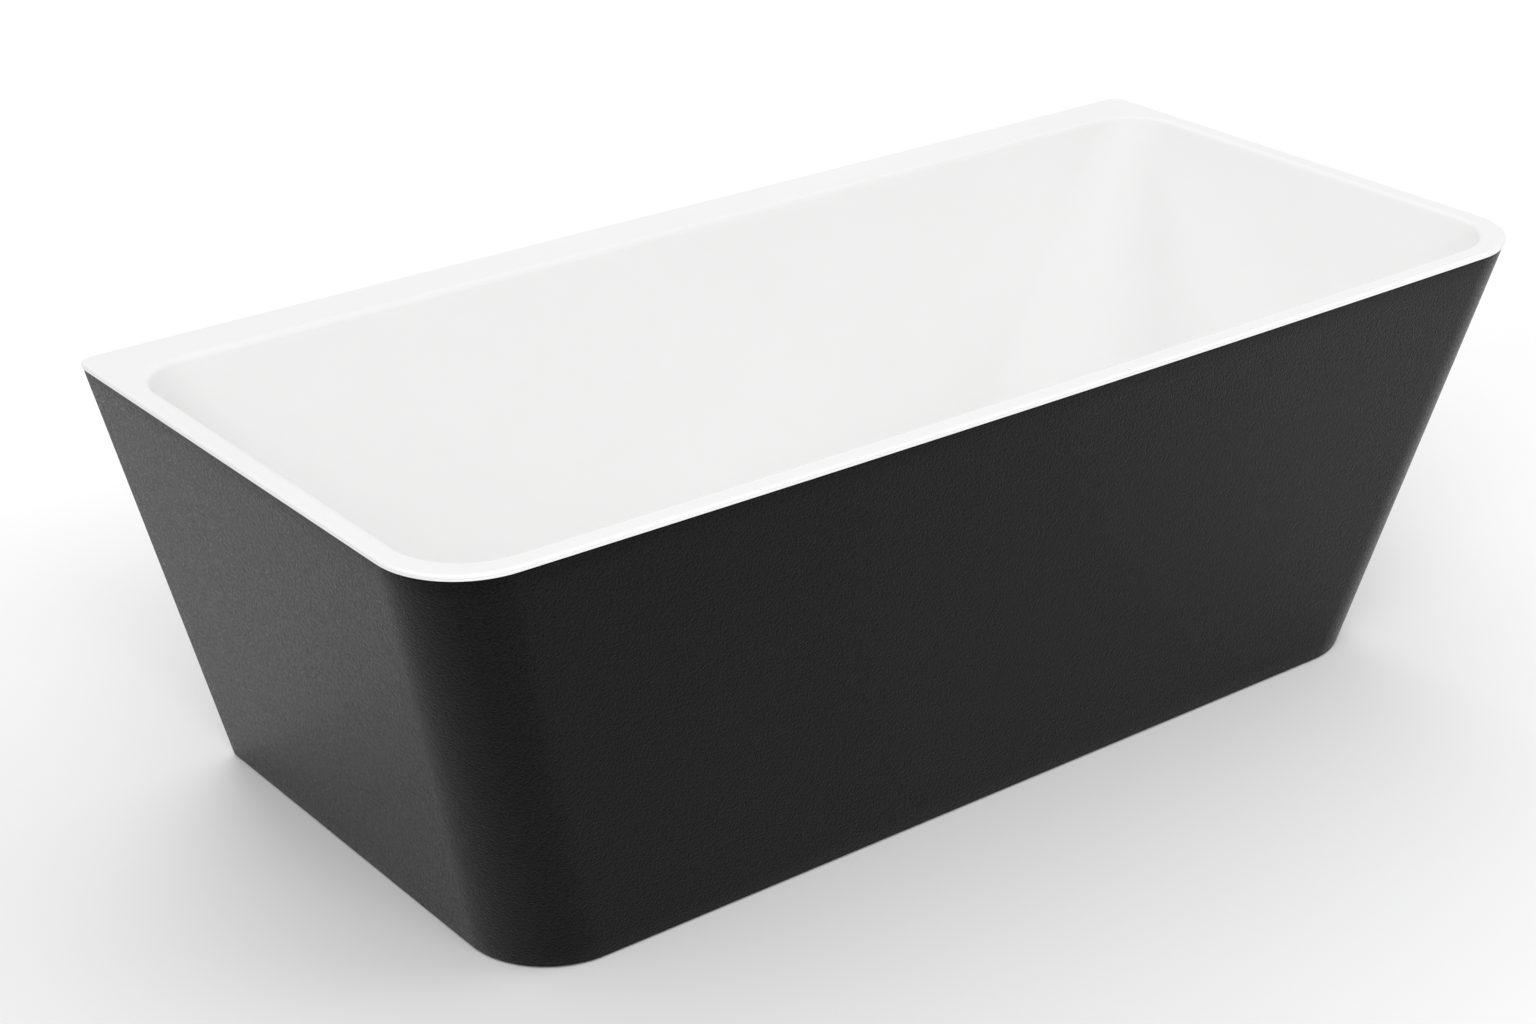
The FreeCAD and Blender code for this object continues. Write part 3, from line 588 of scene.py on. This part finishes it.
def bowl_ring(z, grow):
    """The basin's inner outline at a height, grown by the acrylic's thickness for its underside."""
    share = (z - FLOOR_Z) / (HEIGHT - FLOOR_Z)
    return outline(
        mix(FLOOR_HALF_LENGTH, OPENING_HALF_LENGTH, share) + grow,
        mix(FLOOR_FRONT_Y, OPENING_FRONT_Y, share) - grow,
        mix(FLOOR_BACK_Y, OPENING_BACK_Y, share) + grow,
        mix(FLOOR_CORNER_RADIUS, OPENING_FRONT_RADIUS, share) + grow,
        mix(FLOOR_CORNER_RADIUS, OPENING_BACK_RADIUS, share) + grow,
        z,
        mix(0, RIM_BOW, max(share, 0)),
    )


# ---- Basin and skirt ----

def basin_side(grow, wall_top_z):
    """Rings of one face of the basin, down its wall and across its floor to the drain."""
    floor_z = FLOOR_Z - grow
    floor_corner = bowl_ring(floor_z, grow)
    wall_top = bowl_ring(wall_top_z, grow)
    blend = rounded_rings(
        floor_corner, wall_top, moved_in(floor_corner, POINTER), FLOOR_BLEND + grow, BLEND_STEPS
    )
    middle = Vector((DRAIN.x, DRAIN.y, floor_z))
    hole = [
        middle + (point - middle).normalized() * DRAIN_HOLE_RADIUS
        for point in blend[-1]
    ]
    near_hole = [middle + (point - middle) * NEAR_HOLE for point in hole]
    return [
        *steps_between(wall_top, blend[0], WALL_STEPS),
        *blend,
        *steps_between(blend[-1], near_hole, FLOOR_STEPS),
        near_hole,
        hole,
    ]


def lip_groove():
    """Rings of the fine mould line that runs round the lip, just under the rim's rounded edge."""
    middle_z = HEIGHT - LIP_HEIGHT / 2
    return [
        outer_ring(middle_z - GROOVE_HALF_HEIGHT, 0),
        outer_ring(middle_z - GROOVE_HALF_HEIGHT / 2, GROOVE_DEPTH),
        outer_ring(middle_z + GROOVE_HALF_HEIGHT / 2, GROOVE_DEPTH),
        outer_ring(middle_z + GROOVE_HALF_HEIGHT, 0),
    ]


def basin():
    """The basin's skin: up the lip, over the rim, down inside to the drain, and back underneath."""
    lip_z = HEIGHT - LIP_HEIGHT
    under_rim_z = HEIGHT - ACRYLIC
    wall_top_z = HEIGHT - 2 * RIM_INNER_ROUND
    inner_top = bowl_ring(HEIGHT, 0)
    outer_top = outer_ring(HEIGHT, 0)
    outer_lip = outer_ring(lip_z, 0)
    inner_lip = outer_ring(lip_z, ACRYLIC)
    under_outer = outer_ring(under_rim_z, ACRYLIC)
    wall_top = bowl_ring(wall_top_z, 0)
    outer_round = rounded_rings(
        outer_top, outer_lip, moved_in(outer_top, POINTER), RIM_OUTER_ROUND, RIM_OUTER_STEPS
    )
    inner_round = rounded_rings(
        inner_top, moved_in(inner_top, -POINTER), bowl_ring(FLOOR_Z, 0),
        RIM_INNER_ROUND, RIM_INNER_STEPS,
    )
    return skin([
        *rounded_rings(inner_lip, under_outer, outer_lip, LIP_EDGE_ROUND, LIP_EDGE_STEPS),
        *rounded_rings(outer_lip, inner_lip, outer_top, LIP_EDGE_ROUND, LIP_EDGE_STEPS),
        *lip_groove(),
        *outer_round,
        *steps_between(outer_round[-1], inner_round[0], RIM_STEPS),
        *inner_round,
        *steps_between(inner_round[-1], wall_top, 2),
        wall_top,
        *basin_side(0, wall_top_z),
        *reversed(basin_side(ACRYLIC, under_rim_z)),
        bowl_ring(under_rim_z, ACRYLIC),
        under_outer,
    ])


def skirt():
    """The skirt's skin, flush with the rim at the back and inset elsewhere."""
    corners = [
        outer_ring(SKIRT_BASE_Z, SKIRT_INSET, 0),
        outer_ring(SKIRT_TOP_Z, SKIRT_INSET, 0),
        outer_ring(SKIRT_TOP_Z, SKIRT_INSET + SKIRT_WALL),
        outer_ring(SKIRT_BASE_Z, SKIRT_INSET + SKIRT_WALL),
    ]
    outer_base, outer_top, inner_top, inner_base = [
        rounded_rings(
            corner, corners[index - 1], corners[(index + 1) % len(corners)],
            SKIRT_EDGE_ROUND, SKIRT_EDGE_STEPS,
        )
        for index, corner in enumerate(corners)
    ]
    return skin([
        *outer_base,
        *steps_between(outer_base[-1], outer_top[0], SKIRT_OUTER_STEPS),
        *outer_top,
        *inner_top,
        *steps_between(inner_top[-1], inner_base[0], SKIRT_INNER_STEPS),
        *inner_base,
    ])


def cut_overflow_hole(piece):
    """Cuts the round hole for the overflow through the basin's left wall."""
    bpy.ops.mesh.primitive_cylinder_add(
        vertices=CUTTER_STEPS, radius=OVERFLOW_HOLE_RADIUS, depth=CUTTER_LENGTH
    )
    cutter = bpy.context.object
    cutter.location = OVERFLOW_SEAT
    cutter.rotation_mode = "QUATERNION"
    cutter.rotation_quaternion = OVERFLOW_AXIS.to_track_quat("Z", "Y")
    cut = piece.modifiers.new("overflow_hole", "BOOLEAN")
    cut.operation = "DIFFERENCE"
    cut.solver = "MANIFOLD"
    cut.object = cutter
    bpy.context.view_layer.update()
    evaluated = piece.evaluated_get(bpy.context.evaluated_depsgraph_get())
    mesh = bpy.data.meshes.new_from_object(evaluated)
    piece.modifiers.clear()
    mesh.set_sharp_from_angle(angle=BASIN_SHARP)
    piece.data = mesh
    bpy.data.objects.remove(cutter)


# ---- Turned metalwork ----

def eased(corners):
    """A closed profile's points with its corners rounded, except those on the axis."""
    points = []
    for index, corner in enumerate(corners):
        before = corners[index - 1] - corner
        after = corners[(index + 1) % len(corners)] - corner
        half = before.angle(after) / 2
        if corner.x == 0 or half > STRAIGHT:
            points.append(corner)
            continue
        reach = min(
            TURNED_EASE / math.tan(half),
            MOST_OF_AN_EDGE * before.length,
            MOST_OF_AN_EDGE * after.length,
        )
        points += rounded(corner, before, after, reach * math.tan(half), EASE_STEPS)
    return points


def turned(profile, place, axis):
    """A solid turned about an axis, from (radius, height) in millimetres, from pole to pole."""
    facing = Vector(axis).to_track_quat("Z", "Y")
    rows = []
    for point in eased([Vector((radius, 0, height)) * MM for radius, height in profile]):
        steps = 1 if point.x == 0 else TURN_STEPS
        rows.append([place + facing @ polar(point.x, turn, point.z) for turn in turns(steps)])
    return capped_skin(rows)


def plug_cap():
    """A shallow dome on the plug's seal, with a socket for the stem, in millimetres."""
    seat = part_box("plug_seal")[1].z / MM
    radius = 32
    socket_radius = 3.02
    socket_top = seat + 2.52
    return turned(
        [
            (0, socket_top),
            (socket_radius, socket_top),
            (socket_radius, seat),
            (radius - 1, seat),
            (radius, seat + 0.8),
            (radius, seat + 2),
            (radius - 1.5, seat + 3.2),
            (radius - 8, seat + 4),
            (radius - 20, seat + 4.4),
            (0, seat + 4.5),
        ],
        Vector((DRAIN.x, DRAIN.y, 0)), (0, 0, 1),
    )


def overflow_cover():
    """A domed cover that stands off the wall on a hollow stem, in millimetres."""
    stem_radius = 6
    bore_radius = 3.5
    stem_end = 0.2
    under_dome = 11
    return turned(
        [
            (0, 14),
            (18, 13.6),
            (30, 12),
            (34, 9.5),
            (35, 7),
            (33.5, 7),
            (32, 9),
            (29, 10),
            (stem_radius, under_dome),
            (stem_radius, stem_end),
            (bore_radius, stem_end),
            (bore_radius, under_dome),
            (0, under_dome),
        ],
        OVERFLOW_SEAT - OVERFLOW_AXIS * COVER_SETBACK, OVERFLOW_AXIS,
    )


# ---- Threaded feet, in millimetres ----

def round_row(radius, height):
    return [polar(radius, turn, height) for turn in turns(STUD_STEPS)]


def hexagon_row(flats, height):
    """A row round a hexagon with a flat at every sixth of a turn, from its width across flats."""
    row = []
    for turn in turns(STUD_STEPS):
        from_flat = turn % (math.pi / 3) - math.pi / 6
        row.append(polar(flats / 2 / math.cos(from_flat), turn, height))
    return row


def thread_row(height, top):
    """A row of a right-hand thread, whose crest runs out near the top's chamfer."""
    row = []
    chamfer = THREAD_RADIUS - THREAD_DEPTH + max(0, top - height)
    for step in range(STUD_STEPS):
        share = step / STUD_STEPS
        phase = (height / THREAD_PITCH - share) % 1
        depth = THREAD_DEPTH * max(0, 1 - abs(phase - 0.5) / GROOVE_HALF_WIDTH)
        row.append(polar(min(THREAD_RADIUS - depth, chamfer), FULL_TURN * share, height))
    return row


def foot_stud(node):
    """An adjusting stud: its spigot in the pad, its hexagon and its thread up to the top."""
    low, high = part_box(node)
    low_z = low.z / MM
    top = high.z / MM
    rows = [
        [Vector((0, 0, low_z))],
        round_row(SPIGOT_RADIUS - SPIGOT_EASE, low_z),
        round_row(SPIGOT_RADIUS, low_z + SPIGOT_EASE),
        round_row(SPIGOT_RADIUS, HEAD_LOW),
        hexagon_row(HEAD_FLATS - 1, HEAD_LOW),
        hexagon_row(HEAD_FLATS, HEAD_LOW + HEAD_CHAMFER),
        hexagon_row(HEAD_FLATS, HEAD_HIGH - HEAD_CHAMFER),
        hexagon_row(HEAD_FLATS - 1, HEAD_HIGH),
        round_row(THREAD_RADIUS, HEAD_HIGH),
    ]
    count = math.ceil((top - HEAD_HIGH) / THREAD_PITCH * THREAD_ROWS_A_TURN)
    for step in range(1, count + 1):
        rows.append(thread_row(HEAD_HIGH + (top - HEAD_HIGH) * step / count, top))
    rows.append([Vector((0, 0, top))])
    middle = Vector(((low.x + high.x) / 2, (low.y + high.y) / 2, 0))
    return capped_skin([[middle + point * MM for point in row] for row in rows])


def feet():
    for node in frame["nodes"]:
        if node.startswith("foot_stud_"):
            place = node.removeprefix("foot_stud_")
            piece = add_piece(
                f"threaded_stud_{place}", *foot_stud(node),
                f"stud_{place}", node, "zinc_plated_steel",
            )
            piece.data.set_sharp_from_angle(angle=STUD_SHARP)


# ---- Studio ----

def studio_floor():
    material, tree, shader = new_material("studio_floor")
    colour = ramp(
        tree, noise(tree, scale=2, detail=2), low=(0.9, 0.9, 0.9), high=(0.91, 0.91, 0.91)
    )
    tree.links.new(colour, shader.inputs["Base Color"])
    set_inputs(shader, Roughness=0.9)
    return material


def studio():
    """A pale floor that bends up into a wall behind the tub, square to the camera's view."""
    half_width = 14
    bend_start_y = 5
    bend_radius = 2.5
    wall_top_z = 12
    facing = math.radians(-37)
    profile = [(-half_width, 0), (bend_start_y, 0)]
    for step in range(1, SWEEP_BEND_STEPS + 1):
        turn = QUARTER_TURN * step / SWEEP_BEND_STEPS
        profile.append((
            bend_start_y + bend_radius * math.sin(turn),
            bend_radius * (1 - math.cos(turn)),
        ))
    profile.append((bend_start_y + bend_radius, wall_top_z))
    vertices = [(x, y, z) for y, z in profile for x in (-half_width, half_width)]
    faces = [(2 * i, 2 * i + 1, 2 * i + 3, 2 * i + 2) for i in range(len(profile) - 1)]
    mesh = bpy.data.meshes.new("studio_sweep")
    mesh.from_pydata(vertices, [], faces)
    mesh.shade_smooth()
    mesh.materials.append(studio_floor())
    sweep = bpy.data.objects.new("studio_sweep", mesh)
    sweep.rotation_euler.z = facing
    bpy.context.scene.collection.objects.link(sweep)


def area_light(name, place, target, size, power, spread_degrees=180):
    """A soft lamp, aimed at a target, that glossy surfaces don't mirror."""
    light = bpy.data.lights.new(name, "AREA")
    light.shape = "RECTANGLE"
    light.size, light.size_y = size
    light.energy = power
    light.spread = math.radians(spread_degrees)
    lamp = bpy.data.objects.new(name, light)
    lamp.visible_glossy = False
    lamp.location = place
    lamp.rotation_mode = "QUATERNION"
    lamp.rotation_quaternion = (Vector(target) - Vector(place)).to_track_quat("-Z", "Y")
    bpy.context.scene.collection.objects.link(lamp)


def lights():
    world = bpy.data.worlds.new("studio_world")
    world.use_nodes = True
    background = world.node_tree.nodes["Background"]
    background.inputs["Color"].default_value = (1, 1, 1, 1)
    background.inputs["Strength"].default_value = 0.64
    bpy.context.scene.world = world
    bpy.context.scene.view_settings.view_transform = "Standard"
    area_light(
        "front_softbox", place=(-2.6, -4.2, 4.4), target=(0, 0.1, 0.3), size=(4.0, 3.0), power=155
    )
    area_light(
        "back_softbox", place=(1.9, 4.2, 3.6), target=(1.7, 2.9, 0), size=(6.0, 2.5), power=78,
        spread_degrees=100,
    )
    area_light(
        "left_softbox", place=(-4.2, -1.6, 3.5), target=(-0.4, -0.4, 0.3), size=(3.0, 3.0),
        power=20,
    )
    area_light(
        "right_softbox", place=(2.6, -2.9, 2.2), target=(1.5, -2.1, 0), size=(2.0, 2.0), power=15,
        spread_degrees=80,
    )


def camera():
    """The camera looks down on the tub's front left corner."""
    place = (-2.1751, -2.6886, 1.8893)
    azimuth = math.radians(-37.42)
    elevation = math.radians(24.84)
    roll = math.radians(-0.44)
    forward = Vector((
        -math.sin(azimuth) * math.cos(elevation),
        math.cos(azimuth) * math.cos(elevation),
        -math.sin(elevation),
    ))
    level = Vector((math.cos(azimuth), math.sin(azimuth), 0))
    right = level * math.cos(roll) + level.cross(forward) * math.sin(roll)
    up = right.cross(forward)
    data = bpy.data.cameras.new("camera")
    data.sensor_width = 36
    data.lens = 69.24
    data.shift_x = -0.0023
    data.shift_y = -0.0007
    data.clip_end = 100
    view = bpy.data.objects.new("camera", data)
    axes = Matrix((right, up, -forward)).transposed()
    view.matrix_world = Matrix.Translation(place) @ axes.to_4x4()
    bpy.context.scene.collection.objects.link(view)
    bpy.context.scene.camera = view


# ---- Putting it together ----

def dress_cad_nodes():
    """Gives every CAD node the material of its slot in the record."""
    slots = {part["node"]: part["material_slot"] for part in frame["record"]["subparts"]}
    for name, node in frame["nodes"].items():
        node.data.materials.clear()
        node.data.materials.append(materials[slots[name]])


materials = {name: make(name, **settings) for name, (make, settings) in MATERIALS.items()}
dress_cad_nodes()
camera()
lights()
studio()

cut_overflow_hole(add_piece("basin", *basin(), "tub", "basin_shell", "white_acrylic"))
add_piece("skirt", *skirt(), "tub", "outer_skirt", "black_skirt")
add_piece("plug_dome", *plug_cap(), "plug", "plug_cap", "chrome")
add_piece("overflow_dome", *overflow_cover(), "tub", "overflow_cover", "chrome")
feet()
